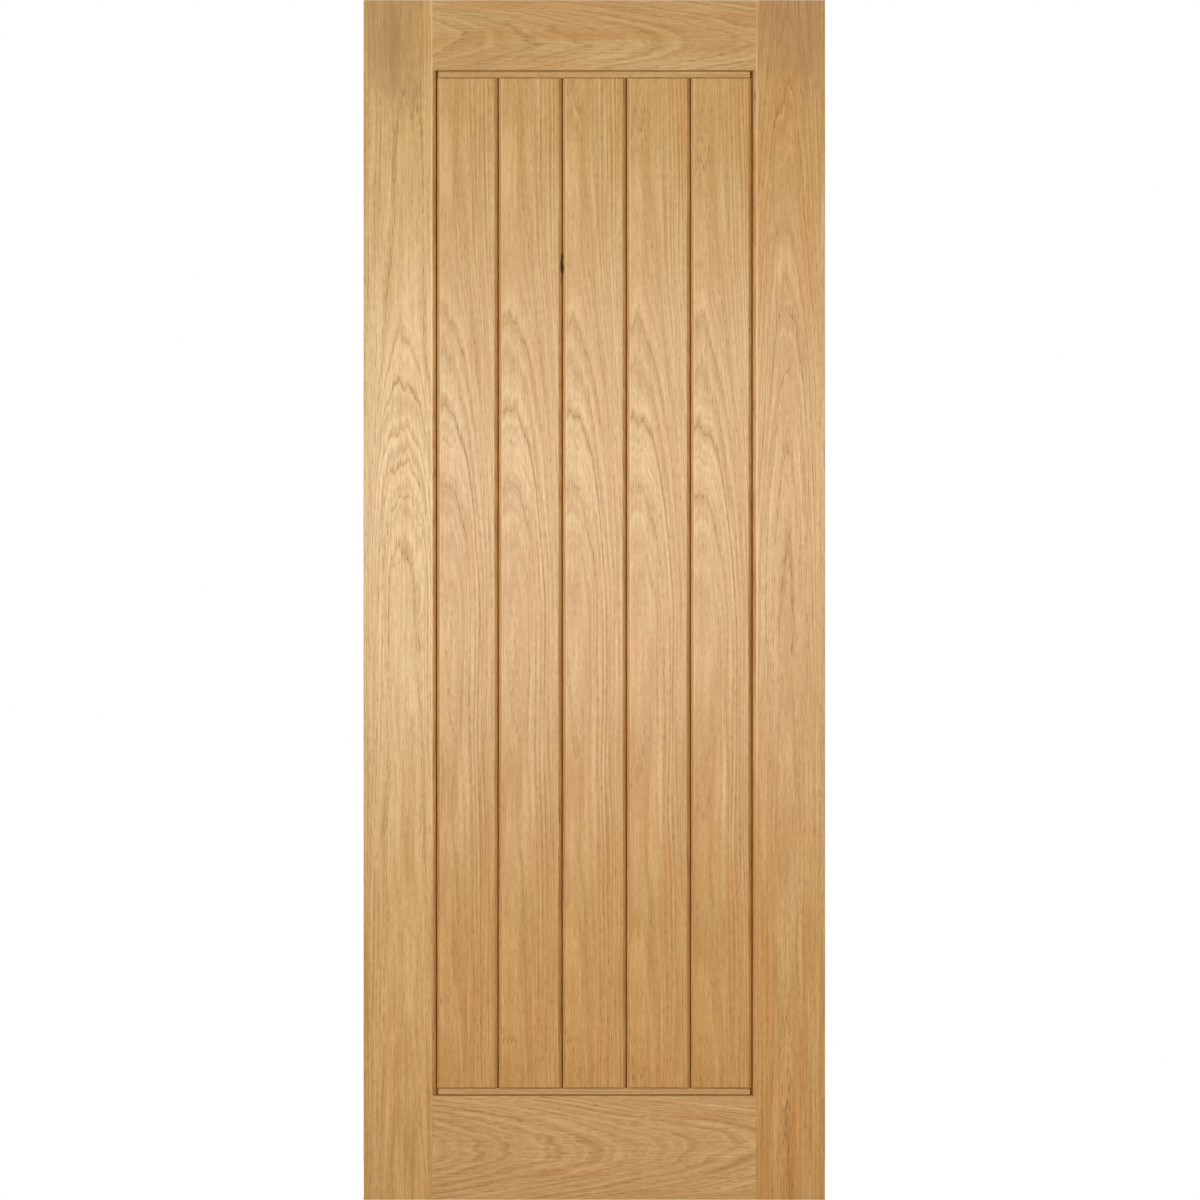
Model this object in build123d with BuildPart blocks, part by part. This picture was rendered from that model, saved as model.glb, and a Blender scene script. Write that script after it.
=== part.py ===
"""Cottage door leaf in oak: coped stiles and rails around tongued and V-jointed boards.

The leaf stands on z = 0 with its hinge edge on the plane x = 0 and the middle of its
thickness on y = 0. The front face looks towards -Y, and all sizes are in millimetres.
"""

import os

from build123d import *

# Leaf
leaf_height = 1981.0
leaf_width = 762.0
leaf_thickness = 35.0

# Frame of stiles and rails
stile_width = 119.0  # over the lipping and the inner bevel
lipping_thickness = 8.0
top_rail_height = 116.0
bottom_rail_height = 172.0
frame_bevel = 5.0  # along the inner arris of each stile
edge_arris = 1.0  # eased edges of the lippings and rails

# Groove and tongue that hold the panel in its frame
groove_depth = 12.0
tongue_thickness = 9.0
tongue_play = 1.0  # left open at the foot of every groove
panel_recess = 2.0  # board faces behind the frame's faces

# Dowels that pin the rails to the stiles
top_dowel_count = 2
bottom_dowel_count = 3
dowel_diameter = 14.0
dowel_reach = 55.0  # into the stile and into the rail, from the shoulder between them
dowel_fit = 0.1  # glue line around a dowel
dowel_play = 2.0  # left open past each end of a dowel
dowel_chamfer = 1.5

# Boards
board_count = 5
outer_board_trim = 3.75  # planed off the two boards beside the stiles
board_bevel = 5.0  # each flank of a V-joint
board_end_arris = 1.5
joint_gap = 2.2  # open shoulder at the foot of a V-joint
board_groove_depth = 9.0

# Reeded beads between the rails and the ends of the boards
bead_width = 9.2
reed_count = 2
reed_rise = 1.2
bead_quirk = 1.6  # open line on both sides of a bead
quirk_depth = 2.5  # from the reeds' edges to the feet of the bead
bead_fit = 0.3  # left open between a bead's feet and what they lie between
bead_end_gap = 5.0

# Sizes worked out from the ones above
half_tongue = tongue_thickness / 2
board_thickness = leaf_thickness - 2 * panel_recess
half_board = board_thickness / 2
leaf_middle = leaf_width / 2
opening_left = stile_width
opening_right = leaf_width - stile_width
opening_width = opening_right - opening_left
opening_bottom = bottom_rail_height
opening_top = leaf_height - top_rail_height
bead_bed = bead_width + 2 * bead_quirk
board_bottom = opening_bottom + bead_bed
board_top = opening_top - bead_bed
tongue_reach = groove_depth - tongue_play  # of a tongue into the frame
tongue_bottom = opening_bottom - tongue_reach
tongue_top = opening_top + tongue_reach
board_pitch = (opening_width - joint_gap + 2 * outer_board_trim) / board_count
bore_radius = dowel_diameter / 2 + dowel_fit
bore_reach = dowel_reach + dowel_play

# Planes that the leaf is symmetrical about
hinge_to_lock = Plane.YZ.offset(leaf_middle)
front_to_back = Plane.XZ
head_to_foot = Plane.XY.offset((opening_top + opening_bottom) / 2)


def stile_plan() -> Sketch:
    """Plan of the hinge stile without its lipping or groove, bevelled on its inner arrises."""
    with BuildSketch() as plan:
        with Locations((lipping_thickness, 0)):
            Rectangle(stile_width - lipping_thickness, leaf_thickness, align=(Align.MIN, Align.CENTER))
        chamfer(plan.vertices().group_by(Axis.X)[-1], frame_bevel)
    return plan.sketch


def dowel_heights(low: float, high: float, count: int) -> list[float]:
    """Heights of count dowels, spaced evenly between low and high with half a space at both ends."""
    space = (high - low) / count
    return [low + (index + 0.5) * space for index in range(count)]


def bore_plan(shoulder: float, heights: list[float]) -> Sketch:
    """Rounds of the dowel bores, on the plane of the shoulder between a stile and its rails."""
    with BuildSketch(Plane.YZ.offset(shoulder)) as bores:
        with Locations(*[(0, height) for height in heights]):
            Circle(bore_radius)
    return bores.sketch


def build_dowel(shoulder: float, height: float) -> Part:
    """A dowel across the shoulder between a stile and a rail, chamfered at both ends."""
    with BuildPart() as dowel:
        with BuildSketch(Plane.YZ.offset(shoulder)):
            with Locations((0, height)):
                Circle(dowel_diameter / 2)
        extrude(amount=dowel_reach, both=True)
        chamfer(dowel.edges().filter_by(GeomType.CIRCLE), dowel_chamfer)
    return dowel.part


top_dowel_heights = dowel_heights(opening_top + groove_depth, leaf_height, top_dowel_count)
bottom_dowel_heights = dowel_heights(0, opening_bottom - groove_depth, bottom_dowel_count)


def build_rail(bottom: float, height: float, inner_end: int, bore_heights: list[float]) -> Part:
    """A rail coped over the stiles' bevels, with stub tenons, dowel bores and a groove for the boards.

    inner_end is 0 where the boards meet the rail's lower edge and -1 where they meet its upper one.
    """
    groove_bottom = bottom if inner_end == 0 else bottom + height - groove_depth
    with BuildPart() as rail:
        with BuildSketch(Plane.XY.offset(bottom)):
            with Locations((leaf_middle, 0)):
                Rectangle(opening_width + 2 * frame_bevel, leaf_thickness)
            add(stile_plan(), mode=Mode.SUBTRACT)
            mirror(stile_plan(), about=hinge_to_lock, mode=Mode.SUBTRACT)
            with Locations((leaf_middle, 0)):
                Rectangle(opening_width + 2 * tongue_reach, tongue_thickness)
        extrude(amount=height)
        inner_edges = rail.edges().filter_by(Axis.X).group_by(Axis.Z)[inner_end]
        chamfer(inner_edges.group_by(Axis.Y)[0] + inner_edges.group_by(Axis.Y)[-1], edge_arris)
        with BuildSketch(Plane.XY.offset(groove_bottom)):
            with Locations((leaf_middle, 0)):
                Rectangle(opening_width + 2 * groove_depth, tongue_thickness)
        extrude(amount=groove_depth, mode=Mode.SUBTRACT)
        for shoulder in (opening_left, opening_right):
            extrude(bore_plan(shoulder, bore_heights), bore_reach, both=True, mode=Mode.SUBTRACT)
    return rail.part


def joint_middle(index: int) -> float:
    """Middle of V-joint number index, counted from the hinge stile."""
    if index == 0:
        return opening_left + joint_gap / 2
    if index == board_count:
        return opening_right - joint_gap / 2
    return opening_left + joint_gap / 2 - outer_board_trim + index * board_pitch


def build_board(index: int) -> Part:
    """Board number index: bevelled on both faces, tongued at its ends and tongued and grooved at its sides."""
    left = joint_middle(index) + joint_gap / 2
    right = joint_middle(index + 1) - joint_gap / 2
    beside_hinge_stile = index == 0
    beside_lock_stile = index == board_count - 1
    side_reach = tongue_reach if beside_hinge_stile else board_groove_depth - tongue_play
    tongue_left = left - joint_gap - side_reach
    tongue_right = opening_right + tongue_reach if beside_lock_stile else right
    with BuildPart() as board:
        with BuildSketch(Plane.XY.offset(board_bottom)) as plan:
            with Locations((left, 0)):
                Rectangle(right - left, board_thickness, align=(Align.MIN, Align.CENTER))
            chamfer(plan.vertices(), board_bevel)
        extrude(amount=board_top - board_bottom)
        chamfer(board.faces().filter_by(Axis.Z).edges().filter_by(Axis.X), board_end_arris)
        with BuildSketch(Plane.XY.offset(tongue_bottom)):
            with Locations((tongue_left, 0)):
                Rectangle(tongue_right - tongue_left, tongue_thickness, align=(Align.MIN, Align.CENTER))
        extrude(amount=tongue_top - tongue_bottom)
        if not beside_lock_stile:
            with BuildSketch(Plane.XY.offset(tongue_bottom)):
                with Locations((right, 0)):
                    Rectangle(board_groove_depth, tongue_thickness, align=(Align.MAX, Align.CENTER))
            extrude(amount=tongue_top - tongue_bottom, mode=Mode.SUBTRACT)
    return board.part


# Lippings: solid strips that carry the hinges and the lock
with BuildPart() as hinge_lipping:
    with BuildSketch() as plan:
        Rectangle(lipping_thickness, leaf_thickness, align=(Align.MIN, Align.CENTER))
        fillet(plan.vertices().group_by(Axis.X)[0], edge_arris)
    extrude(amount=leaf_height)

with BuildPart() as lock_lipping:
    mirror(hinge_lipping.part, about=hinge_to_lock)

# Stiles: bevelled and grooved over their whole height, and bored for the dowels
with BuildPart() as hinge_stile:
    with BuildSketch():
        add(stile_plan())
        with Locations((stile_width, 0)):
            Rectangle(groove_depth, tongue_thickness, align=(Align.MAX, Align.CENTER), mode=Mode.SUBTRACT)
    extrude(amount=leaf_height)
    stile_bores = bore_plan(opening_left, top_dowel_heights + bottom_dowel_heights)
    extrude(stile_bores, bore_reach, both=True, mode=Mode.SUBTRACT)

with BuildPart() as lock_stile:
    mirror(hinge_stile.part, about=hinge_to_lock)

# Beads: a pair of reeds on a footed strip that lies against the end tongues of the boards
with BuildPart() as top_bead_front:
    shoulder = -half_board + reed_rise
    foot_face = shoulder + quirk_depth
    foot_reach = bead_quirk - bead_fit
    reed_width = bead_width / reed_count
    bead_foot = board_top + bead_quirk
    bead_head = bead_foot + bead_width
    with BuildSketch(Plane.YZ.offset(opening_left + bead_end_gap)):
        with BuildLine():
            for reed in range(reed_count):
                low = bead_foot + reed * reed_width
                ThreePointArc(
                    (shoulder, low),
                    (shoulder - reed_rise, low + reed_width / 2),
                    (shoulder, low + reed_width),
                )
            Polyline(
                (shoulder, bead_head),
                (foot_face, bead_head),
                (foot_face, bead_head + foot_reach),
                (-half_tongue, bead_head + foot_reach),
                (-half_tongue, bead_foot - foot_reach),
                (foot_face, bead_foot - foot_reach),
                (foot_face, bead_foot),
                (shoulder, bead_foot),
            )
        make_face()
    extrude(amount=opening_width - 2 * bead_end_gap)

with BuildPart() as top_bead_back:
    mirror(top_bead_front.part, about=front_to_back)

with BuildPart() as bottom_bead_front:
    mirror(top_bead_front.part, about=head_to_foot)

with BuildPart() as bottom_bead_back:
    mirror(bottom_bead_front.part, about=front_to_back)

pieces = {
    "hinge_lipping": hinge_lipping.part,
    "lock_lipping": lock_lipping.part,
    "hinge_stile": hinge_stile.part,
    "lock_stile": lock_stile.part,
    "top_rail": build_rail(opening_top, top_rail_height, 0, top_dowel_heights),
    "bottom_rail": build_rail(0, bottom_rail_height, -1, bottom_dowel_heights),
    "top_bead_front": top_bead_front.part,
    "top_bead_back": top_bead_back.part,
    "bottom_bead_front": bottom_bead_front.part,
    "bottom_bead_back": bottom_bead_back.part,
}
for number in range(board_count):
    pieces[f"board_{number + 1}"] = build_board(number)
for side, shoulder in (("hinge", opening_left), ("lock", opening_right)):
    for number, height in enumerate(top_dowel_heights, start=1):
        pieces[f"{side}_top_dowel_{number}"] = build_dowel(shoulder, height)
    for number, height in enumerate(bottom_dowel_heights, start=1):
        pieces[f"{side}_bottom_dowel_{number}"] = build_dowel(shoulder, height)

os.makedirs("parts", exist_ok=True)
for name, piece in pieces.items():
    piece.label = name
    export_step(piece, f"parts/{name}.step")
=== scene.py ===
"""Dresses the oak cottage door leaf and photographs it straight on in a white studio.

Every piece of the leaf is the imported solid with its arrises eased, as sandpaper leaves
them, in oak that is sawn from its own log. Lengths are metres; patterns are millimetres.
"""

import logging
import math
from dataclasses import dataclass, field, replace
from enum import Enum
from typing import Any

import bpy
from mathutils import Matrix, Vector


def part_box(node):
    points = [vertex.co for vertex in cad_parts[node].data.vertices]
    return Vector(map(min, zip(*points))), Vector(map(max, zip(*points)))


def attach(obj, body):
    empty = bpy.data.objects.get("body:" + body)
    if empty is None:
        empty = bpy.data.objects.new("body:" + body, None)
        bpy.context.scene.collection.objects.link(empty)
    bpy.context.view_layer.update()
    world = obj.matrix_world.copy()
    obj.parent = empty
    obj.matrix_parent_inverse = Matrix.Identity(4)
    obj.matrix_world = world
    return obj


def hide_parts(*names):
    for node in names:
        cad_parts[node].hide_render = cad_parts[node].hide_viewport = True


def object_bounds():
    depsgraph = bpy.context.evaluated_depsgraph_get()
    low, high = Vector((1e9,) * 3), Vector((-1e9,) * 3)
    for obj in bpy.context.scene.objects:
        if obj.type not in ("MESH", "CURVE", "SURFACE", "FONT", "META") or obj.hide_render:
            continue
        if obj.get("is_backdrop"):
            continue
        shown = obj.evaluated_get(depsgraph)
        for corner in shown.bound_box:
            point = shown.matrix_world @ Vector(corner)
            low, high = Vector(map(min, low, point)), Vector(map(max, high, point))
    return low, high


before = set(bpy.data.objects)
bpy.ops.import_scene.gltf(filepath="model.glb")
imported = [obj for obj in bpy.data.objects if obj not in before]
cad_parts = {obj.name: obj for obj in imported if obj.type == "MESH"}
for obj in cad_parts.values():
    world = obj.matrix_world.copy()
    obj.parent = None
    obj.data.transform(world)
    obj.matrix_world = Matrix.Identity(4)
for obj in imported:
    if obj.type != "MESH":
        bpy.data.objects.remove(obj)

logging.basicConfig(level=logging.INFO, format="%(name)s: %(message)s")
log = logging.getLogger("door_leaf")

Colour = tuple[float, float, float, float]
Triple = tuple[float, float, float]
Window = tuple[float, float]
Material = bpy.types.Material
Node = bpy.types.Node
Tree = bpy.types.NodeTree

MM = 0.001
BODY = "root"
WHITE: Colour = (1.0, 1.0, 1.0, 1.0)

# Clean-up of a solid's triangles, and which of its edges are eased
MERGE_DISTANCE = 0.01 * MM
FLAT_ANGLE = math.radians(1)
SHARP_ANGLE = math.radians(40)
ARRIS_SEGMENTS = 2

# Numbers of a Mix node's sockets, because its data types share their names
FLOAT_A, FLOAT_B, FLOAT_MIX = 2, 3, 0
COLOUR_A, COLOUR_B, COLOUR_MIX = 6, 7, 2

# How far a seed of one moves a pattern, and the middle of a noise's values
SEED_STEP = (3.7, 1.9, 5.3)
NOISE_MIDDLE = (0.5, 0.5, 0.5)


def linear(hex_colour: str, tone: float = 1.0) -> Colour:
    """Turns an sRGB hex colour into linear light.

    Args:
        hex_colour: colour written as #RRGGBB.
        tone: brightness that the colour is multiplied by.

    Returns:
        Red, green, blue and an alpha of one, in linear light.
    """
    channels = []
    for start in (1, 3, 5):
        value = int(hex_colour[start : start + 2], 16) / 255
        channels.append(value / 12.92 if value <= 0.04045 else ((value + 0.055) / 1.055) ** 2.4)
    return (tone * channels[0], tone * channels[1], tone * channels[2], 1.0)


def add_node(tree: Tree, kind: str, inputs: dict[Any, Any], **settings: Any) -> Node:
    """Adds one node with its settings, and links or sets its inputs.

    Args:
        tree: node tree that gets the node.
        kind: Blender's name of the node's type.
        inputs: socket name or number to a constant, a socket, or a node whose first output is used.
        settings: properties of the node itself.

    Returns:
        The new node.
    """
    node = tree.nodes.new(kind)
    for key, value in settings.items():
        setattr(node, key, value)
    for key, value in inputs.items():
        socket = node.inputs[key]
        if isinstance(value, bpy.types.Node):
            tree.links.new(value.outputs[0], socket)
        elif isinstance(value, bpy.types.NodeSocket):
            tree.links.new(value, socket)
        else:
            socket.default_value = value
    return node


def new_material(name: str) -> tuple[Material, Tree, Node]:
    """Starts a material.

    Args:
        name: name of the material.

    Returns:
        The material, its node tree and its shader.
    """
    material = bpy.data.materials.new(name)
    material.use_nodes = True
    tree = material.node_tree
    return material, tree, tree.nodes["Principled BSDF"]


def shown_rays(tree: Tree) -> Node:
    """Marks the rays that show the studio as white: the camera's, mirrored ones and those through glass.

    Args:
        tree: tree that gets the nodes.

    Returns:
        The node that gives one for such a ray and nought for any other.
    """
    rays = add_node(tree, "ShaderNodeLightPath", {})
    shown = rays.outputs["Is Camera Ray"]
    for kind in ("Is Glossy Ray", "Is Transmission Ray"):
        shown = add_node(tree, "ShaderNodeMath", {0: shown, 1: rays.outputs[kind]}, operation="MAXIMUM")
    return shown


class Grain(Enum):
    """Way that the fibres of a piece run in the leaf."""

    UPRIGHT = "upright"
    ACROSS = "across"


@dataclass(frozen=True)
class Patches:
    """Noise in patches that are drawn out along the fibres.

    Attributes:
        width: size of a patch across the fibres, in millimetres.
        length: size of a patch along the fibres, in millimetres.
        detail: number of finer layers.
        shift: what is added to a piece's seed, so that its patterns aren't in step.
    """

    width: float
    length: float
    detail: float = 1.0
    shift: float = 0.0

    def draw(self, tree: Tree, place: Node, seed: float) -> Node:
        """Draws the patches on a piece.

        Args:
            tree: tree that gets the nodes.
            place: places in millimetres, with z along the fibres.
            seed: seed of the piece.

        Returns:
            The noise node, whose first output is a factor around one half.
        """
        drawn_out = add_node(
            tree,
            "ShaderNodeMapping",
            {
                "Vector": place,
                "Location": [step * (seed + self.shift) for step in SEED_STEP],
                "Scale": (1 / self.width, 1 / self.width, 1 / self.length),
            },
        )
        return add_node(
            tree, "ShaderNodeTexNoise", {"Vector": drawn_out, "Scale": 1.0, "Detail": self.detail}
        )


@dataclass(frozen=True)
class Fleck:
    """Dark patch laid over the wood, an upright egg in the leaf, in millimetres.

    Attributes:
        middle: middle of the egg.
        size: length that counts as one along each axis of the egg.
        colour: colour of the patch.
        share: how far it covers the wood.
        fray_scale: number of frays in one size.
        fray: how far the edge frays, in sizes.
        core: distance with its fray, in sizes, up to which the patch is full.
        rim: distance with its fray, in sizes, at which it is gone.
    """

    middle: Triple
    size: Triple
    colour: str
    share: float
    fray_scale: float = 4.0
    fray: float = 0.8
    core: float = 0.6
    rim: float = 0.95

    def lay(self, tree: Tree, colour: Node) -> Node:
        """Lays the patch over the wood.

        Args:
            tree: tree that gets the nodes.
            colour: mix node that gives the colour of the wood.

        Returns:
            The mix node that gives the colour with the patch in it.
        """
        where = add_node(tree, "ShaderNodeTexCoord", {})
        egg = add_node(
            tree,
            "ShaderNodeMapping",
            {
                "Vector": where.outputs["Object"],
                "Location": [-place / size for place, size in zip(self.middle, self.size)],
                "Scale": [1 / (size * MM) for size in self.size],
            },
        )
        away = add_node(tree, "ShaderNodeVectorMath", {0: egg}, operation="LENGTH")
        frays = add_node(
            tree, "ShaderNodeTexNoise", {"Vector": egg, "Scale": self.fray_scale, "Detail": 2.0}
        )
        ragged = add_node(
            tree,
            "ShaderNodeMath",
            {0: frays, 1: self.fray, 2: away.outputs["Value"]},
            operation="MULTIPLY_ADD",
        )
        share = add_node(
            tree,
            "ShaderNodeMapRange",
            {
                "Value": ragged,
                "From Min": self.core,
                "From Max": self.rim,
                "To Min": self.share,
                "To Max": 0.0,
            },
            interpolation_type="SMOOTHSTEP",
        )
        return add_node(
            tree,
            "ShaderNodeMix",
            {"Factor": share, COLOUR_A: colour.outputs[COLOUR_MIX], COLOUR_B: linear(self.colour)},
            data_type="RGBA",
        )


@dataclass(frozen=True)
class Sawing:
    """How one piece was sawn from its log, in millimetres.

    Attributes:
        grain: way that the fibres run.
        pith_across: place of the line over the log's pith, from the piece's middle line across the face.
        pith_depth: depth of the pith behind the middle of the thickness, at the leaf's foot or hinge edge.
        bend: distance from the pith line at which a ring has bent down by one year.
        bend_power: how flat the rings lie over the pith before they bend down.
        lean: depth that the pith gains for each millimetre along the grain.
        swell: further depth that the pith gains between two places along the grain.
        swell_from: place along the grain where that gain starts.
        swell_to: place along the grain where it ends.
        sway: how far the rings wander from a plain cone.
        jag: how far the teeth of the rings reach, in years.
        ring_width: mean width of one year's growth over the pith.
        face: how far the piece's sanded face stands from the middle of the thickness; what lies lower,
        as in the V-joints, is left as the cutter made it and gets a painted shade, darker and redder.
        seed: shift of every pattern, so that each piece has its own figure.
        painted_arris_highlight: place across the face, from the piece's middle line, of an arris that gets
            a painted highlight, a pale line where it catches the light.
        figure: how dark the lines of the rings are where they stand steep, beside the pith line.
        crest: share of that darkness where they lie flat, over the pith.
        warmth: how far the piece leans from pale to honey.
        greyness: share of the grey-green streaks among the honey ones.
        tone: brightness of the whole piece.
        foot_figure: share of the lines' darkness that is left below the swell.
        flecks: dark patches laid over the wood.
    """

    grain: Grain = Grain.UPRIGHT
    pith_across: float = 0.0
    pith_depth: float = 10.0
    bend: float = 30.0
    bend_power: float = 2.0
    lean: float = 0.005
    swell: float = 0.0
    swell_from: float = 0.0
    swell_to: float = 1000.0
    sway: float = 5.0
    jag: float = 0.2
    ring_width: float = 4.0
    face: float = 17.5
    seed: float = 0.0
    painted_arris_highlight: float | None = None
    figure: float = 0.6
    crest: float = 0.8
    warmth: float = 0.0
    greyness: float = 0.15
    tone: float = 1.0
    foot_figure: float = 1.0
    flecks: tuple[Fleck, ...] = ()


# Fine straight grain of the narrow strips, which are cut far from the pith
STRAIGHT = Sawing(bend=3.2, bend_power=1.0, lean=0.0, ring_width=20.0, face=0.0)


@dataclass(frozen=True)
class SandedOak:
    """European oak, planed, sanded and left bare.

    Rings are ring-porous: each year opens with a band of coarse pores, which reads as a broken
    brown line that is sharp on one side, and closes with dense pale wood. Broad honey and
    grey-green streaks follow the fibres. The fibres give the surface a silky sheen that is
    spread across them and short along them.
    """

    # Colours
    pale: str = "#CAAC74"
    honey: str = "#C29556"
    grey: str = "#B39C63"
    ring: str = "#966C24"
    pore: str = "#7A4D14"
    cut: str = "#FFE6C4"  # tint that the cutter leaves on flanks and ends, with painted shade: it darkens and reddens the recessed V-joints and quirks
    # painted highlight: pale colour of the line where an arris catches the light
    painted_arris_highlight: str = "#DDC08C"

    # Patterns along the fibres
    specks: Patches = Patches(1.2, 16.0)  # real pores are 0.3 mm wide: drawn coarser so that they show
    wander: Patches = Patches(90.0, 420.0)
    waves: Patches = Patches(16.0, 240.0)
    jags: Patches = Patches(6.0, 50.0, detail=2.0)
    streaks: Patches = Patches(1.5, 140.0, detail=2.0, shift=9.0)
    mottle: Patches = Patches(5.0, 12.0, detail=2.0, shift=13.0)
    tint: Patches = Patches(24.0, 320.0, detail=3.0, shift=4.0)

    # Values of a noise between which its mark goes from nothing to full
    pore_window: Window = (0.48, 0.68)
    tint_window: Window = (0.32, 0.68)
    grey_window: Window = (0.45, 0.75)
    fibre_window: Window = (0.98, 1.62)

    # Years of growth
    season_rate: float = 0.22  # changes of the rings' width in one year
    season_swing: float = 1.6  # years that the rings gain or lose by them
    faintest_year: float = 0.2  # darkness of the faintest year's line
    line_fade: float = 6.0  # power with which a year's line fades
    tail_fade: float = 1.3  # power with which the tail behind it fades
    tail_share: float = 0.25
    grey_rate: float = 0.4  # grey-green streaks in one year
    early_pores: float = 0.9  # pores that the start of a year has more than the rest of it
    late_pores: float = 0.22  # pores in the rest of it

    # Fibres and lines
    flow_years: float = 0.45  # width of a fibre that follows the rings
    flow_length: float = 260.0
    flow_share: float = 1.1
    mottle_share: float = 0.5
    flat_to: float = 0.4  # in bends from the pith line: the rings lie flat up to here
    steep_from: float = 1.8  # in bends from the pith line: they stand steep from here
    foot_fade: float = 300.0  # length over which the lines fade, above and below the swell's start
    ring_strength: float = 0.6
    pore_strength: float = 0.75
    fibre_strength: float = 0.55

    # Sanding, the cut tint with its painted groove shade, and the painted arris highlight
    sanding_depth: float = 5.5  # below the face, where nothing is sanded any more and the cut tint with its painted shade is full
    sanding_edge: float = 0.3  # below the face, down to where it is sanded fully
    cut_tint_and_shade_share: float = 0.6
    arris_highlight_share: float = 0.5
    arris_highlight_width: float = 1.8
    arris_highlight_core: float = 0.3  # share of that width where the painted highlight is full
    arris_highlight_from: float = 450.0  # height where the painted highlight starts
    arris_highlight_fully: float = 850.0  # height from which the painted highlight is full

    # Sheen and relief
    ior: float = 1.5
    smooth_roughness: float = 0.40
    open_roughness: float = 0.60
    cut_roughness: float = 0.7
    smooth_specular: float = 0.58
    open_specular: float = 0.3
    cut_specular: float = 0.4
    sheen_spread: float = 0.75
    relief: float = 0.12
    relief_strength: float = 0.5
    early_relief: float = 0.4  # depth of a year's start beside that of its pores

    def material(self, name: str, sawing: Sawing, middle: Vector) -> Material:
        """Makes the oak of one piece.

        Args:
            name: name of the material.
            sawing: how the piece was sawn.
            middle: middle of the piece in the leaf, in metres.

        Returns:
            A material whose grain runs along the piece.
        """
        material, tree, shader = new_material(name)
        place = self._fibres(tree, sawing, middle)
        years = self._years(tree, place, sawing)
        early = self._early_bands(tree, years)
        pores = self._pores(tree, place, early)
        lines = self._lines(tree, place, years, sawing, early)
        sanded = self._sanded(tree, place, sawing)
        wood = self._colour(tree, place, years, sawing, lines, pores)
        # cut tint, and painted shade that darkens the recessed V-joints and quirks
        colour = self._cut_tint_and_groove_shade(tree, sanded, wood)
        # painted highlight along one arris, where it catches the light
        if sawing.painted_arris_highlight is not None:
            colour = self._paint_arris_highlight(tree, place, sawing, colour)
        for fleck in sawing.flecks:
            colour = fleck.lay(tree, colour)
        tree.links.new(colour.outputs[COLOUR_MIX], shader.inputs["Base Color"])
        self._gloss(tree, shader, lines, pores, sanded)
        self._hollows(tree, shader, early, pores)
        self._silk(tree, shader, sawing)
        shader.inputs["IOR"].default_value = self.ior
        return material

    def _fibres(self, tree: Tree, sawing: Sawing, middle: Vector) -> Node:
        """Gives places in millimetres with x across the face, y through it and z along the fibres.

        Args:
            tree: tree that gets the nodes.
            sawing: how the piece was sawn, with the way of its fibres.
            middle: middle of the piece in the leaf, in metres.

        Returns:
            The mapping node that gives the places.
        """
        where = add_node(tree, "ShaderNodeTexCoord", {})
        turned = sawing.grain is Grain.ACROSS
        across = middle.z if turned else middle.x
        return add_node(
            tree,
            "ShaderNodeMapping",
            {
                "Vector": where.outputs["Object"],
                "Location": (-across / MM, 0.0, 0.0),
                "Rotation": (0.0, math.radians(90) if turned else 0.0, 0.0),
                "Scale": (1 / MM, 1 / MM, 1 / MM),
            },
        )

    def _years(self, tree: Tree, place: Node, sawing: Sawing) -> Node:
        """Counts the years of growth from the pith to each point of the piece.

        Args:
            tree: tree that gets the nodes.
            place: places in millimetres, with z along the fibres.
            sawing: how the piece was sawn.

        Returns:
            The node that gives the years, with their waves and teeth.
        """
        log_place = add_node(
            tree,
            "ShaderNodeMapping",
            {
                "Vector": place,
                "Location": (-sawing.pith_across, -sawing.pith_depth, 0.0),
                "Rotation": (math.atan(sawing.lean), 0.0, 0.0),
            },
        )
        wander = self.wander.draw(tree, place, sawing.seed)
        centred = add_node(
            tree,
            "ShaderNodeVectorMath",
            {0: wander.outputs["Color"], 1: NOISE_MIDDLE},
            operation="SUBTRACT",
        )
        swayed = add_node(
            tree,
            "ShaderNodeVectorMath",
            {0: centred, 1: (2 * sawing.sway, 2 * sawing.sway, 0.0), 2: log_place},
            operation="MULTIPLY_ADD",
        )
        along = add_node(tree, "ShaderNodeSeparateXYZ", {"Vector": place})
        gain = add_node(
            tree,
            "ShaderNodeMapRange",
            {
                "Value": along.outputs["Z"],
                "From Min": sawing.swell_from,
                "From Max": sawing.swell_to,
                "To Max": sawing.swell,
            },
            interpolation_type="SMOOTHSTEP",
        )
        deeper = add_node(tree, "ShaderNodeCombineXYZ", {"Y": gain})
        sunk = add_node(tree, "ShaderNodeVectorMath", {0: swayed, 1: deeper}, operation="SUBTRACT")
        from_pith = add_node(tree, "ShaderNodeSeparateXYZ", {"Vector": sunk})
        side = add_node(tree, "ShaderNodeMath", {0: from_pith.outputs["X"]}, operation="ABSOLUTE")
        bends = add_node(tree, "ShaderNodeMath", {0: side, 1: 1 / sawing.bend}, operation="MULTIPLY")
        bent = add_node(tree, "ShaderNodeMath", {0: bends, 1: sawing.bend_power}, operation="POWER")
        even = add_node(
            tree,
            "ShaderNodeMath",
            {0: from_pith.outputs["Y"], 1: -1 / sawing.ring_width, 2: bent},
            operation="MULTIPLY_ADD",
        )
        seasons = add_node(
            tree,
            "ShaderNodeTexNoise",
            {"W": even, "Scale": self.season_rate, "Detail": 1.0},
            noise_dimensions="1D",
        )
        uneven = add_node(
            tree, "ShaderNodeMath", {0: seasons, 1: self.season_swing, 2: even}, operation="MULTIPLY_ADD"
        )
        waves = self.waves.draw(tree, place, sawing.seed)
        waved = add_node(tree, "ShaderNodeMath", {0: waves, 1: uneven}, operation="ADD")
        jags = self.jags.draw(tree, place, sawing.seed)
        return add_node(
            tree, "ShaderNodeMath", {0: jags, 1: sawing.jag, 2: waved}, operation="MULTIPLY_ADD"
        )

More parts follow.
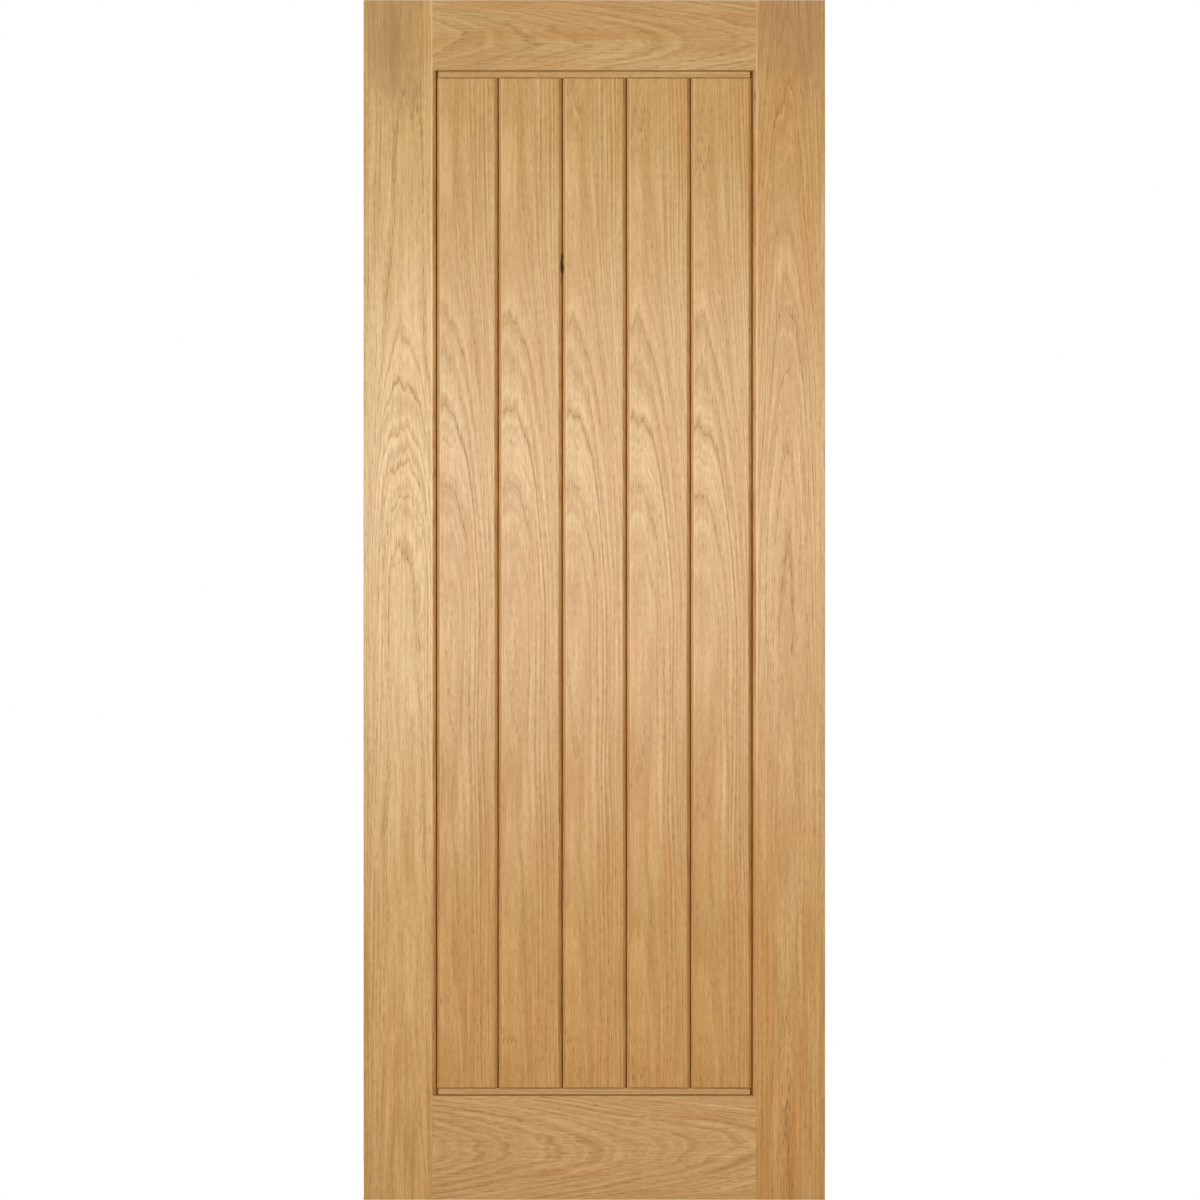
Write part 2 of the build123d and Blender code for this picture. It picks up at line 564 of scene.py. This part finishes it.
    def _early_bands(self, tree: Tree, years: Node) -> Node:
        """Draws the porous start of each year, sharp on its inner side.

        Args:
            tree: tree that gets the nodes.
            years: years of growth at each point.

        Returns:
            The node that gives the bands, from nought to one.
        """
        season = add_node(tree, "ShaderNodeMath", {0: years}, operation="FRACT")
        year = add_node(tree, "ShaderNodeMath", {0: years}, operation="FLOOR")
        vigour = add_node(tree, "ShaderNodeTexWhiteNoise", {"W": year}, noise_dimensions="1D")
        mark = add_node(tree, "ShaderNodeMapRange", {"Value": vigour, "To Min": self.faintest_year})
        left = add_node(tree, "ShaderNodeMath", {0: 1.0, 1: season}, operation="SUBTRACT")
        line = add_node(tree, "ShaderNodeMath", {0: left, 1: self.line_fade}, operation="POWER")
        tail = add_node(tree, "ShaderNodeMath", {0: left, 1: self.tail_fade}, operation="POWER")
        opening = add_node(tree, "ShaderNodeMix", {"Factor": self.tail_share, FLOAT_A: line, FLOAT_B: tail})
        return add_node(tree, "ShaderNodeMath", {0: opening, 1: mark}, operation="MULTIPLY")

    def _pores(self, tree: Tree, place: Node, early: Node) -> Node:
        """Draws the open pores, thickest in the early band of each year.

        Args:
            tree: tree that gets the nodes.
            place: places in millimetres, with z along the fibres.
            early: porous start of each year.

        Returns:
            The node that gives the pores, from nought to one.
        """
        specks = self.specks.draw(tree, place, 0.0)
        fewest, most = self.pore_window
        open_specks = add_node(
            tree,
            "ShaderNodeMapRange",
            {"Value": specks, "From Min": fewest, "From Max": most},
            interpolation_type="SMOOTHSTEP",
        )
        crowd = add_node(
            tree,
            "ShaderNodeMath",
            {0: early, 1: self.early_pores, 2: self.late_pores},
            operation="MULTIPLY_ADD",
        )
        return add_node(
            tree, "ShaderNodeMath", {0: open_specks, 1: crowd}, operation="MULTIPLY", use_clamp=True
        )

    def _lines(self, tree: Tree, place: Node, years: Node, sawing: Sawing, early: Node) -> Node:
        """Adds the rings to fine dark fibres, of which some are straight and some follow the rings.

        Args:
            tree: tree that gets the nodes.
            place: places in millimetres, with z along the fibres.
            years: years of growth at each point.
            sawing: how the piece was sawn.
            early: porous start of each year.

        Returns:
            The node that gives the share of dark wood, from nought to one.
        """
        streaks = self.streaks.draw(tree, place, sawing.seed)
        mottle = self.mottle.draw(tree, place, sawing.seed)
        along = add_node(tree, "ShaderNodeSeparateXYZ", {"Vector": place})
        in_years = add_node(
            tree, "ShaderNodeMath", {0: years, 1: 1 / self.flow_years}, operation="MULTIPLY"
        )
        in_length = add_node(
            tree, "ShaderNodeMath", {0: along.outputs["Z"], 1: 1 / self.flow_length}, operation="MULTIPLY"
        )
        flow_place = add_node(tree, "ShaderNodeCombineXYZ", {"X": in_years, "Y": in_length})
        flow = add_node(
            tree,
            "ShaderNodeTexNoise",
            {"Vector": flow_place, "Scale": 1.0, "Detail": 2.0},
            noise_dimensions="2D",
        )
        fine = add_node(
            tree, "ShaderNodeMath", {0: mottle, 1: self.mottle_share, 2: streaks}, operation="MULTIPLY_ADD"
        )
        mixed = add_node(
            tree, "ShaderNodeMath", {0: flow, 1: self.flow_share, 2: fine}, operation="MULTIPLY_ADD"
        )
        palest, darkest = self.fibre_window
        fibres = add_node(
            tree,
            "ShaderNodeMapRange",
            {"Value": mixed, "From Min": palest, "From Max": darkest, "To Max": self.fibre_strength},
        )
        return add_node(
            tree,
            "ShaderNodeMath",
            {0: early, 1: self._crispness(tree, place, sawing), 2: fibres},
            operation="MULTIPLY_ADD",
            use_clamp=True,
        )

    def _crispness(self, tree: Tree, place: Node, sawing: Sawing) -> Node:
        """Weakens the ring lines where the saw cut the rings flat, and below the swell.

        Args:
            tree: tree that gets the nodes.
            place: places in millimetres, with x across the face.
            sawing: how the piece was sawn.

        Returns:
            The node that gives the darkness of the lines.
        """
        where = add_node(tree, "ShaderNodeSeparateXYZ", {"Vector": place})
        side = add_node(
            tree, "ShaderNodeMath", {0: where.outputs["X"], 1: sawing.pith_across}, operation="SUBTRACT"
        )
        beside = add_node(tree, "ShaderNodeMath", {0: side}, operation="ABSOLUTE")
        steep = self.ring_strength * sawing.figure
        crisp = add_node(
            tree,
            "ShaderNodeMapRange",
            {
                "Value": beside,
                "From Min": self.flat_to * sawing.bend,
                "From Max": self.steep_from * sawing.bend,
                "To Min": sawing.crest * steep,
                "To Max": steep,
            },
        )
        kept = add_node(
            tree,
            "ShaderNodeMapRange",
            {
                "Value": where.outputs["Z"],
                "From Min": sawing.swell_from - self.foot_fade,
                "From Max": sawing.swell_from + self.foot_fade,
                "To Min": sawing.foot_figure,
            },
        )
        return add_node(tree, "ShaderNodeMath", {0: crisp, 1: kept}, operation="MULTIPLY")

    def _sanded(self, tree: Tree, place: Node, sawing: Sawing) -> Node:
        """Marks the sanded faces, and fades on the flanks below them, where the cut tint and painted shade
        go.

        Args:
            tree: tree that gets the nodes.
            place: places in millimetres, with y through the thickness.
            sawing: how the piece was sawn, with the place of its faces.

        Returns:
            The node that gives one on the faces and nought far below them.
        """
        through = add_node(tree, "ShaderNodeSeparateXYZ", {"Vector": place})
        height = add_node(tree, "ShaderNodeMath", {0: through.outputs["Y"]}, operation="ABSOLUTE")
        return add_node(
            tree,
            "ShaderNodeMapRange",
            {
                "Value": height,
                "From Min": sawing.face - self.sanding_depth,
                "From Max": sawing.face - self.sanding_edge,
            },
        )

    def _colour(
        self, tree: Tree, place: Node, years: Node, sawing: Sawing, lines: Node, pores: Node
    ) -> Node:
        """Lays the streaks, lines and pores over each other.

        Args:
            tree: tree that gets the nodes.
            place: places in millimetres, with z along the fibres.
            years: years of growth at each point.
            sawing: how the piece was sawn.
            lines: share of dark fibre and of the rings' early wood.
            pores: open pores.

        Returns:
            The mix node that gives the colour of the wood.
        """
        tint = self.tint.draw(tree, place, sawing.seed)
        palest, warmest = self.tint_window
        warm = add_node(
            tree,
            "ShaderNodeMapRange",
            {"Value": tint, "From Min": palest - sawing.warmth, "From Max": warmest - sawing.warmth},
        )
        bands = add_node(
            tree,
            "ShaderNodeTexNoise",
            {"W": years, "Scale": self.grey_rate, "Detail": 1.0},
            noise_dimensions="1D",
        )
        plainest, greyest = self.grey_window
        greyed = add_node(
            tree,
            "ShaderNodeMapRange",
            {"Value": bands, "From Min": plainest, "From Max": greyest, "To Max": sawing.greyness},
        )
        pored = add_node(
            tree, "ShaderNodeMath", {0: pores, 1: self.pore_strength}, operation="MULTIPLY", use_clamp=True
        )
        colour = linear(self.pale, sawing.tone)
        layers = ((warm, self.honey), (greyed, self.grey), (lines, self.ring), (pored, self.pore))
        for share, shade in layers:
            layer = add_node(
                tree,
                "ShaderNodeMix",
                {"Factor": share, COLOUR_A: colour, COLOUR_B: linear(shade, sawing.tone)},
                data_type="RGBA",
            )
            colour = layer.outputs[COLOUR_MIX]
        return layer

    def _cut_tint_and_groove_shade(self, tree: Tree, sanded: Node, colour: Node) -> Node:
        """Tints the flanks and ends that the cutter left, and paints shade into the recessed V-joints and
        quirks: darker and redder below the sanded face.

        Args:
            tree: tree that gets the nodes.
            sanded: sanded faces.
            colour: mix node that gives the colour of the wood.

        Returns:
            The mix node that gives the colour with its tint and painted shade.
        """
        cut_and_shade_share = add_node(
            tree, "ShaderNodeMapRange", {"Value": sanded, "To Min": self.cut_tint_and_shade_share, "To Max": 0.0}
        )
        return add_node(
            tree,
            "ShaderNodeMix",
            {"Factor": cut_and_shade_share, COLOUR_A: colour.outputs[COLOUR_MIX], COLOUR_B: linear(self.cut)},
            data_type="RGBA",
            blend_type="MULTIPLY",
        )

    def _paint_arris_highlight(self, tree: Tree, place: Node, sawing: Sawing, colour: Node) -> Node:
        """Paints a highlight along the arris, a pale line where it catches the light, weaker towards the
        foot where less light falls.

        Args:
            tree: tree that gets the nodes.
            place: places in millimetres, with x across the face.
            sawing: how the piece was sawn, with the place of the arris.
            colour: mix node that gives the colour of the wood.

        Returns:
            The mix node that gives the colour with its painted highlight.
        """
        where = add_node(tree, "ShaderNodeSeparateXYZ", {"Vector": place})
        off = add_node(
            tree, "ShaderNodeMath", {0: where.outputs["X"], 1: sawing.painted_arris_highlight}, operation="SUBTRACT"
        )
        away = add_node(tree, "ShaderNodeMath", {0: off}, operation="ABSOLUTE")
        height = add_node(
            tree,
            "ShaderNodeMapRange",
            {
                "Value": where.outputs["Z"],
                "From Min": self.arris_highlight_from,
                "From Max": self.arris_highlight_fully,
                "To Max": self.arris_highlight_share,
            },
        )
        share = add_node(
            tree,
            "ShaderNodeMapRange",
            {
                "Value": away,
                "From Min": self.arris_highlight_core * self.arris_highlight_width,
                "From Max": self.arris_highlight_width,
                "To Min": height,
                "To Max": 0.0,
            },
        )
        return add_node(
            tree,
            "ShaderNodeMix",
            {
                "Factor": share,
                COLOUR_A: colour.outputs[COLOUR_MIX],
                COLOUR_B: linear(self.painted_arris_highlight, sawing.tone),
            },
            data_type="RGBA",
        )

    def _gloss(self, tree: Tree, shader: Node, lines: Node, pores: Node, sanded: Node) -> None:
        """Makes dense sanded wood smoother and silkier than open pores, dark lines and cut flanks.

        Args:
            tree: tree that gets the nodes.
            shader: shader of the oak.
            lines: share of dark wood.
            pores: open pores.
            sanded: sanded faces.
        """
        smooth = add_node(
            tree,
            "ShaderNodeMapRange",
            {"Value": pores, "To Min": self.smooth_roughness, "To Max": self.open_roughness},
        )
        rough = add_node(
            tree, "ShaderNodeMix", {"Factor": sanded, FLOAT_A: self.cut_roughness, FLOAT_B: smooth}
        )
        tree.links.new(rough.outputs[FLOAT_MIX], shader.inputs["Roughness"])
        silk = add_node(
            tree,
            "ShaderNodeMapRange",
            {"Value": lines, "To Min": self.smooth_specular, "To Max": self.open_specular},
        )
        gloss = add_node(
            tree, "ShaderNodeMix", {"Factor": sanded, FLOAT_A: self.cut_specular, FLOAT_B: silk}
        )
        tree.links.new(gloss.outputs[FLOAT_MIX], shader.inputs["Specular IOR Level"])

    def _hollows(self, tree: Tree, shader: Node, early: Node, pores: Node) -> None:
        """Sinks the pores and the start of each year.

        Args:
            tree: tree that gets the nodes.
            shader: shader of the oak.
            early: porous start of each year.
            pores: open pores.
        """
        hollows = add_node(
            tree, "ShaderNodeMath", {0: early, 1: self.early_relief, 2: pores}, operation="MULTIPLY_ADD"
        )
        bump = add_node(
            tree,
            "ShaderNodeBump",
            {"Height": hollows, "Strength": self.relief_strength, "Distance": self.relief * MM},
            invert=True,
        )
        tree.links.new(bump.outputs["Normal"], shader.inputs["Normal"])

    def _silk(self, tree: Tree, shader: Node, sawing: Sawing) -> None:
        """Spreads the sheen across the fibres.

        Args:
            tree: tree that gets the nodes.
            shader: shader of the oak.
            sawing: how the piece was sawn, with the way of its fibres.
        """
        surface = add_node(tree, "ShaderNodeNewGeometry", {})
        fibre = (1.0, 0.0, 0.0) if sawing.grain is Grain.ACROSS else (0.0, 0.0, 1.0)
        across = add_node(
            tree,
            "ShaderNodeVectorMath",
            {0: surface.outputs["Normal"], 1: fibre},
            operation="CROSS_PRODUCT",
        )
        tree.links.new(across.outputs["Vector"], shader.inputs["Tangent"])
        shader.inputs["Anisotropic"].default_value = self.sheen_spread


@dataclass(frozen=True)
class TurnedBeech:
    """Beech dowel rod, turned and left bare: close pinkish wood with short dark flecks and no pores."""

    ground: str = "#D3AE86"
    fleck: str = "#B98A5E"
    fleck_width: float = 0.8
    fleck_length: float = 9.0
    fleck_window: Window = (0.5, 0.7)
    roughness: float = 0.55

    def material(self, name: str) -> Material:
        """Makes the beech, with its grain along the dowels, which lie across the leaf.

        Args:
            name: name of the material.

        Returns:
            The material of every dowel.
        """
        material, tree, shader = new_material(name)
        where = add_node(tree, "ShaderNodeTexCoord", {})
        across = 1 / (self.fleck_width * MM)
        drawn_out = add_node(
            tree,
            "ShaderNodeMapping",
            {"Vector": where.outputs["Object"], "Scale": (1 / (self.fleck_length * MM), across, across)},
        )
        flecks = add_node(tree, "ShaderNodeTexNoise", {"Vector": drawn_out, "Scale": 1.0, "Detail": 2.0})
        palest, darkest = self.fleck_window
        share = add_node(
            tree, "ShaderNodeMapRange", {"Value": flecks, "From Min": palest, "From Max": darkest}
        )
        colour = add_node(
            tree,
            "ShaderNodeMix",
            {"Factor": share, COLOUR_A: linear(self.ground), COLOUR_B: linear(self.fleck)},
            data_type="RGBA",
        )
        tree.links.new(colour.outputs[COLOUR_MIX], shader.inputs["Base Color"])
        shader.inputs["Roughness"].default_value = self.roughness
        return material


@dataclass(frozen=True)
class PaperSweep:
    """White paper of the studio's floor: even and matt, and lifted to white where it is seen."""

    colour: str = "#E8E8E8"
    roughness: float = 0.9
    lift: float = 0.6

    def material(self, name: str) -> Material:
        """Makes the paper.

        Args:
            name: name of the material.

        Returns:
            A material that looks white and still takes a shadow.
        """
        material, tree, shader = new_material(name)
        shader.inputs["Base Color"].default_value = linear(self.colour)
        shader.inputs["Roughness"].default_value = self.roughness
        shader.inputs["Emission Color"].default_value = WHITE
        glow = add_node(tree, "ShaderNodeMath", {0: shown_rays(tree), 1: self.lift}, operation="MULTIPLY")
        tree.links.new(glow.outputs["Value"], shader.inputs["Emission Strength"])
        return material


@dataclass
class EasedPiece:
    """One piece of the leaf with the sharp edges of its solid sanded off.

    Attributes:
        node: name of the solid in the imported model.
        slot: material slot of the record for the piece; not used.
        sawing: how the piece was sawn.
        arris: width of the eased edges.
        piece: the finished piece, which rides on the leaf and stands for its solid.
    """

    node: str
    slot: str
    sawing: Sawing
    arris: float = 0.5 * MM
    piece: bpy.types.Object | None = field(default=None, init=False)

    def build(self) -> None:
        """Copies the solid, merges its triangles into plain faces and eases its edges."""
        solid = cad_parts[self.node]
        piece = bpy.data.objects.new(f"eased_{self.node}", solid.data.copy())
        bpy.context.scene.collection.objects.link(piece)
        bpy.ops.object.select_all(action="DESELECT")
        piece.select_set(True)
        bpy.context.view_layer.objects.active = piece
        bpy.ops.mesh.customdata_custom_splitnormals_clear()
        bpy.ops.object.mode_set(mode="EDIT")
        bpy.ops.mesh.select_all(action="SELECT")
        bpy.ops.mesh.remove_doubles(threshold=MERGE_DISTANCE)
        bpy.ops.mesh.dissolve_limited(angle_limit=FLAT_ANGLE)
        bpy.ops.object.mode_set(mode="OBJECT")
        bevel = piece.modifiers.new("arris", "BEVEL")
        bevel.width = self.arris
        bevel.segments = ARRIS_SEGMENTS
        bevel.limit_method = "ANGLE"
        bevel.angle_limit = SHARP_ANGLE
        bpy.ops.object.modifier_apply(modifier=bevel.name)
        bpy.ops.object.shade_smooth()
        weighted = piece.modifiers.new("flat faces", "WEIGHTED_NORMAL")
        bpy.ops.object.modifier_apply(modifier=weighted.name)
        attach(piece, BODY)
        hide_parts(self.node)
        self.piece = piece

    def dress(self, oak: SandedOak) -> None:
        """Gives the piece oak of its own sawing.

        Args:
            oak: finish of the pieces that are dressed together.
        """
        low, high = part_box(self.node)
        material = oak.material(f"sanded_oak_{self.node}", self.sawing, (low + high) / 2)
        self.piece.data.materials.clear()
        self.piece.data.materials.append(material)
        log.info("%s: %d faces", self.piece.name, len(self.piece.data.polygons))


@dataclass
class SubAssembly:
    """Pieces of the leaf that are made and dressed together."""

    oak: SandedOak = SandedOak()
    pieces: list[EasedPiece] = field(default_factory=list, init=False)

    def build(self) -> None:
        """Models every piece."""
        for piece in self.pieces:
            piece.build()

    def dress(self) -> None:
        """Gives every piece its oak."""
        for piece in self.pieces:
            piece.dress(self.oak)


@dataclass
class OuterFrame(SubAssembly):
    """Stiles and rails, with cathedral figure, and the straight-grained lippings on their edges."""

    # stronger cut tint and painted shade below the faces of the frame
    oak: SandedOak = SandedOak(flow_years=0.33, sanding_depth=2.5, cut_tint_and_shade_share=0.75)
    stile_arris: float = 0.8 * MM
    rail_arris: float = 1.2 * MM
    lipping_arris: float = 0.3 * MM
    hinge_stile: Sawing = Sawing(
        pith_across=5,
        pith_depth=32.9,
        bend=33,
        bend_power=2.8,
        lean=0.006,
        swell=26.2,
        swell_from=1000,
        swell_to=1480,
        jag=0.32,
        ring_width=5.0,
        # place of the painted arris highlight
        painted_arris_highlight=49.0,
        figure=0.66,
        warmth=-0.2,
        tone=1.05,
        seed=3.1,
        foot_figure=0.4,
        # darker patches at the top of the stile
        flecks=(
            Fleck(middle=(40, -17, 1925), size=(150, 60, 300), colour="#9C7448", share=0.42),
            Fleck(middle=(44, -17, 1912), size=(44, 40, 130), colour="#8A7350", share=0.2),
        ),
    )
    lock_stile: Sawing = Sawing(
        pith_across=0,
        pith_depth=4.35,
        bend=24,
        bend_power=2.0,
        lean=0.004,
        swell=40,
        swell_from=900,
        swell_to=2300,
        sway=4,
        jag=0.35,
        ring_width=5.0,
        # place of the painted arris highlight
        painted_arris_highlight=-49.0,
        figure=0.75,
        warmth=0.06,
        seed=7.7,
        foot_figure=0.4,
        # darker patch at the top of the stile
        flecks=(Fleck(middle=(722, -17, 1945), size=(170, 60, 260), colour="#9A7350", share=0.45),),
    )
    top_rail: Sawing = Sawing(
        Grain.ACROSS,
        pith_across=-12,
        pith_depth=20,
        bend=28,
        bend_power=1.75,
        lean=-0.042,
        jag=0.3,
        ring_width=2.8,
        figure=0.5,
        warmth=-0.03,
        # painted shade: the top rail is darker, as less light falls at the top of the leaf
        tone=0.95,
        seed=12.4,
    )
    bottom_rail: Sawing = Sawing(
        Grain.ACROSS,
        pith_across=0,
        pith_depth=30,
        bend=28.5,
        bend_power=1.75,
        lean=-0.048,
        ring_width=2.8,
        figure=0.52,
        warmth=-0.2,
        tone=0.97,
        seed=21.9,
    )
    hinge_lipping: Sawing = replace(STRAIGHT, pith_across=90, warmth=-0.08, seed=31.0)
    lock_lipping: Sawing = replace(STRAIGHT, pith_across=90, warmth=0.06, seed=37.0)

    def __post_init__(self) -> None:
        """Lists the frame's pieces."""
        self.pieces = [
            EasedPiece("hinge_stile", "frame_oak", self.hinge_stile, self.stile_arris),
            EasedPiece("lock_stile", "frame_oak", self.lock_stile, self.stile_arris),
            EasedPiece("top_rail", "frame_oak", self.top_rail, self.rail_arris),
            EasedPiece("bottom_rail", "frame_oak", self.bottom_rail, self.rail_arris),
            EasedPiece("hinge_lipping", "lipping_oak", self.hinge_lipping, self.lipping_arris),
            EasedPiece("lock_lipping", "lipping_oak", self.lock_lipping, self.lipping_arris),
        ]


@dataclass
class BoardedPanel(SubAssembly):
    """Five upright boards from one log, so that their figure drifts little from board to board.

    Attributes:
        board: sawing that the boards share.
        pith_across: place of the pith line on each board, from the hinge side.
        painted_arris_highlight: place of the painted highlight along each board's hinge-side arris.
        depth_drift: depth that the pith gains from board to board.
        seed_drift: what the seed gains from board to board.
        bark: black fault in one of the V-joints.
        barked: numbers of the boards on both sides of it.
    """

    # weaker painted arris highlight on the boards
    oak: SandedOak = SandedOak(arris_highlight_share=0.3)
    board: Sawing = Sawing(
        pith_depth=23,
        bend=32,
        bend_power=2.2,
        lean=0.008,
        swell=28,
        swell_from=950,
        swell_to=1600,
        jag=0.14,
        ring_width=4.8,
        face=15.5,
        figure=0.85,
        crest=0.35,
        seed=50,
    )
    pith_across: tuple[float, ...] = (-36, -33, -37, -32, -38)
    painted_arris_highlight: tuple[float, ...] = (-38.4, -41.7, -41.7, -41.7, -46.4)
    depth_drift: float = 0.5
    seed_drift: float = 0.03
    bark: Fleck = Fleck(middle=(328, -8, 1543), size=(9, 20, 48), colour="#2A1A0E", share=0.9)
    barked: tuple[int, int] = (2, 3)

    def __post_init__(self) -> None:
        """Lists the boards with their sawing."""
        for number, (pith, arris) in enumerate(zip(self.pith_across, self.painted_arris_highlight), start=1):
            sawing = replace(
                self.board,
                pith_across=pith,
                pith_depth=self.board.pith_depth + self.depth_drift * number,
                painted_arris_highlight=arris,
                seed=self.board.seed + self.seed_drift * number,
                flecks=(self.bark,) if number in self.barked else (),
            )
            self.pieces.append(EasedPiece(f"board_{number}", "board_oak", sawing))


@dataclass
class ReededBeads(SubAssembly):
    """Beads along the rails, of fine straight grain."""

    arris: float = 0.25 * MM
    strip: Sawing = replace(STRAIGHT, grain=Grain.ACROSS, pith_across=80, seed=70)

    def __post_init__(self) -> None:
        """Lists the beads, each with its own seed."""
        names = [f"{end}_bead_{side}" for end in ("top", "bottom") for side in ("front", "back")]
        for index, name in enumerate(names):
            sawing = replace(self.strip, seed=self.strip.seed + index)
            self.pieces.append(EasedPiece(name, "bead_oak", sawing, self.arris))


@dataclass
class Dowels:
    """Hidden dowels between the rails and the stiles, shown as their solids."""

    finish: TurnedBeech = TurnedBeech()

    def dress(self) -> None:
        """Gives every dowel its beech."""
        beech = self.finish.material("turned_beech")
        for name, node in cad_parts.items():
            if "_dowel_" in name:
                node.data.materials.clear()
                node.data.materials.append(beech)
                log.info("%s: beech", name)


@dataclass(frozen=True)
class SoftBox:
    """Soft box that doesn't show in the picture, in metres and watts."""

    name: str
    place: Triple
    aim: Triple
    size: tuple[float, float]
    power: float
    spread: float = 180.0  # degrees: less than half a circle where a grid holds the light together
    colour: str = "#FFFFFF"
    sheen_only: bool = False  # a card that is only there to be mirrored in the silky fibres

    def hang(self) -> None:
        """Hangs the soft box at its place, facing its aim."""
        lamp = bpy.data.lights.new(self.name, "AREA")
        lamp.shape = "RECTANGLE"
        lamp.size, lamp.size_y = self.size
        lamp.energy = self.power
        lamp.color = linear(self.colour)[:3]
        lamp.spread = math.radians(self.spread)
        holder = bpy.data.objects.new(self.name, lamp)
        holder.location = self.place
        holder.rotation_euler = (Vector(self.aim) - Vector(self.place)).to_track_quat("-Z", "Y").to_euler()
        holder.visible_camera = False
        holder.visible_diffuse = not self.sheen_only
        bpy.context.scene.collection.objects.link(holder)


@dataclass
class Studio:
    """White studio: floor, soft boxes in front and behind, warm fill and a long lens.

    Attributes:
        lens: focal length, in millimetres.
        sensor: width of the picture behind the lens, in millimetres.
        picture: width and height of the picture, in pixels.
        leaf_middle_pixel: place of the leaf's middle line, in pixels from the left.
        floor_radius: radius of the floor, in metres.
        floor_sides: number of sides of its round.
        paper: finish of the floor.
        fill: colour of the light from all around.
        fill_strength: strength of that light.
        lights: soft boxes and cards.
    """

    lens: float = 120.0
    sensor: float = 36.0
    picture: int = 1200
    leaf_middle_pixel: float = 594.3
    floor_radius: float = 0.6
    floor_sides: int = 96
    paper: PaperSweep = PaperSweep()
    fill: str = "#FFF0DC"
    fill_strength: float = 0.6
    lights: tuple[SoftBox, ...] = (
        SoftBox(
            "key_softbox",
            place=(-1.25, -3.65, 1.27),
            aim=(0.7, 0.0, 1.27),
            size=(0.8, 0.8),
            power=11.6,
            spread=60.0,
        ),
        SoftBox(
            "sheen_card",
            place=(0.58, -1.7, 1.115),
            aim=(0.58, 0.0, 1.115),
            size=(1.2, 0.99),
            power=11.9,
            sheen_only=True,
        ),
        SoftBox(
            "warm_card",
            place=(0.38, -1.3, 0.1),
            aim=(0.38, 0.0, 0.4),
            size=(1.0, 0.3),
            power=1.8,
            colour="#FF9E55",
        ),
        SoftBox("back_softbox", place=(0.9, 1.6, 1.15), aim=(0.38, 0.0, 1.1), size=(0.8, 1.0), power=20.0),
    )

    def build_floor(self) -> None:
        """Lays a round white floor that keeps the leaf's shadow."""
        bpy.ops.object.select_all(action="DESELECT")
        low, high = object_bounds()
        bpy.ops.mesh.primitive_circle_add(
            vertices=self.floor_sides,
            radius=self.floor_radius,
            fill_type="NGON",
            location=((low.x + high.x) / 2, 0.0, low.z),
        )
        floor = bpy.context.active_object
        floor.name = "floor"
        bpy.ops.object.transform_apply(location=True, rotation=True, scale=True)
        floor.data.materials.append(self.paper.material("white_paper_sweep"))
        floor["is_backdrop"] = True

    def build_world(self) -> None:
        """Fills the studio with warm soft light and shows it as plain white."""
        world = bpy.data.worlds.new("studio")
        bpy.context.scene.world = world
        world.use_nodes = True
        tree = world.node_tree
        tree.nodes.clear()
        soft = add_node(
            tree, "ShaderNodeBackground", {"Color": linear(self.fill), "Strength": self.fill_strength}
        )
        white = add_node(tree, "ShaderNodeBackground", {"Color": WHITE, "Strength": 1.0})
        either = add_node(tree, "ShaderNodeMixShader", {0: shown_rays(tree), 1: soft, 2: white})
        add_node(tree, "ShaderNodeOutputWorld", {"Surface": either})

    def build_camera(self) -> None:
        """Sets the camera so that the leaf fills the picture from top to bottom, as in the photograph."""
        low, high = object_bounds()
        height = high.z - low.z
        metres_per_pixel = height / self.picture
        distance = height / 2 / (self.sensor / 2 / self.lens)
        off_middle = (self.picture / 2 - self.leaf_middle_pixel) * metres_per_pixel
        camera = bpy.data.cameras.new("straight_on")
        camera.lens = self.lens
        camera.sensor_width = self.sensor
        holder = bpy.data.objects.new("straight_on", camera)
        holder.location = ((low.x + high.x) / 2 + off_middle, low.y - distance, (low.z + high.z) / 2)
        holder.rotation_euler = (math.radians(90), 0.0, 0.0)
        bpy.context.scene.collection.objects.link(holder)
        bpy.context.scene.camera = holder

    def build(self) -> None:
        """Builds the whole studio."""
        bpy.context.scene.view_settings.view_transform = "Standard"
        self.build_floor()
        self.build_world()
        for light in self.lights:
            light.hang()
        self.build_camera()
        log.info("studio ready")


def main() -> None:
    """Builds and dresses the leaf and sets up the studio."""
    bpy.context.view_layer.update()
    for assembly in (OuterFrame(), BoardedPanel(), ReededBeads()):
        assembly.build()
        assembly.dress()
    Dowels().dress()
    Studio().build()


if __name__ == "__main__":
    main()
